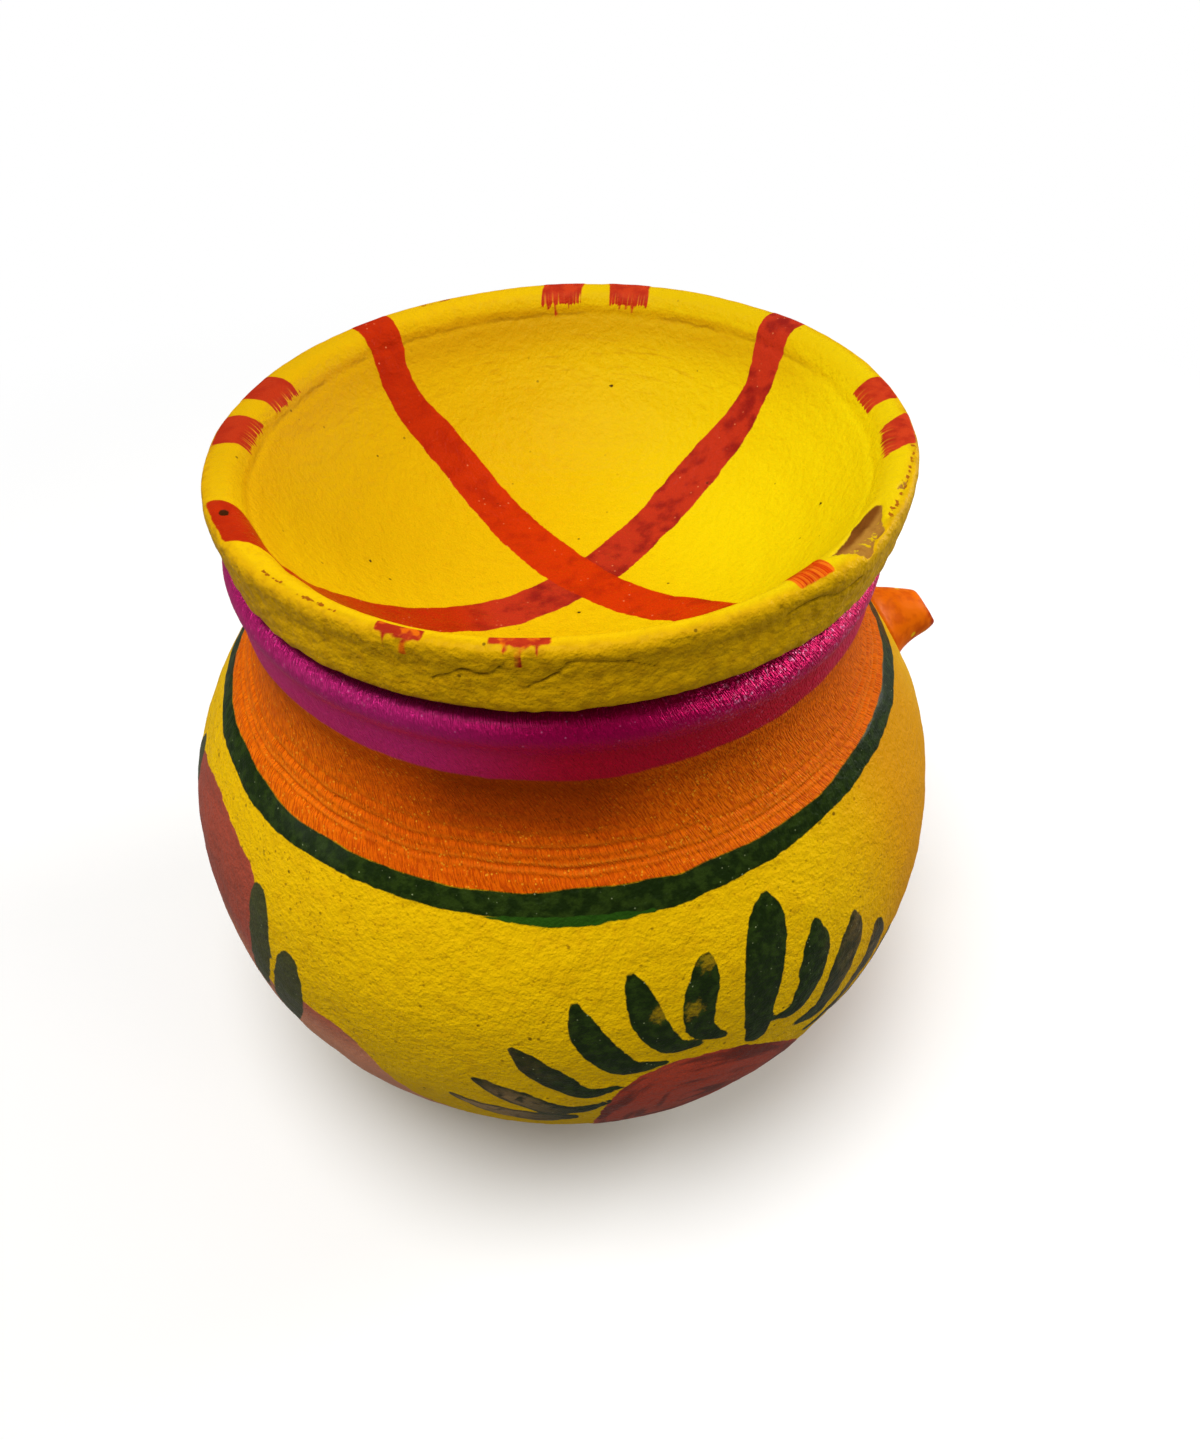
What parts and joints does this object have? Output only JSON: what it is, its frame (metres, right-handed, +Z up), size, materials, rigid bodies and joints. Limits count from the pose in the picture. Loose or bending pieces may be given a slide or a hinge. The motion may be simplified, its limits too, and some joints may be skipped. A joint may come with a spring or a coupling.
{
  "type": "clay lota with lid",
  "caption": "Round-bellied painted clay water pot with a collared neck, a short pouring spout and a loose dish lid that lifts off its mouth.",
  "frame": {"origin": "centre of the pot's flat foot, on the surface it stands on", "axes": "+Z up through the mouth, +X along the spout's plan direction"},
  "size_m": [0.1366, 0.13, 0.1228],
  "materials": {
    "painted_pot": "yellow distemper paint over fired clay, satin",
    "painted_spout": "orange distemper paint over fired clay, satin",
    "painted_luting": "orange distemper paint over a worked clay fillet",
    "painted_lid": "yellow distemper paint over fired clay, satin"
  },
  "bodies": {
    "pot": {"pot_body": "painted_pot", "spout": "painted_spout", "spout_luting": "painted_luting"},
    "lid": {"lid_dish": "painted_lid"}
  },
  "joints": [
    {"name": "lid_lift", "type": "slide", "parent": "pot", "child": "lid", "axis": [0, 0, 1], "range_m": [0, 0.06]}
  ]
}
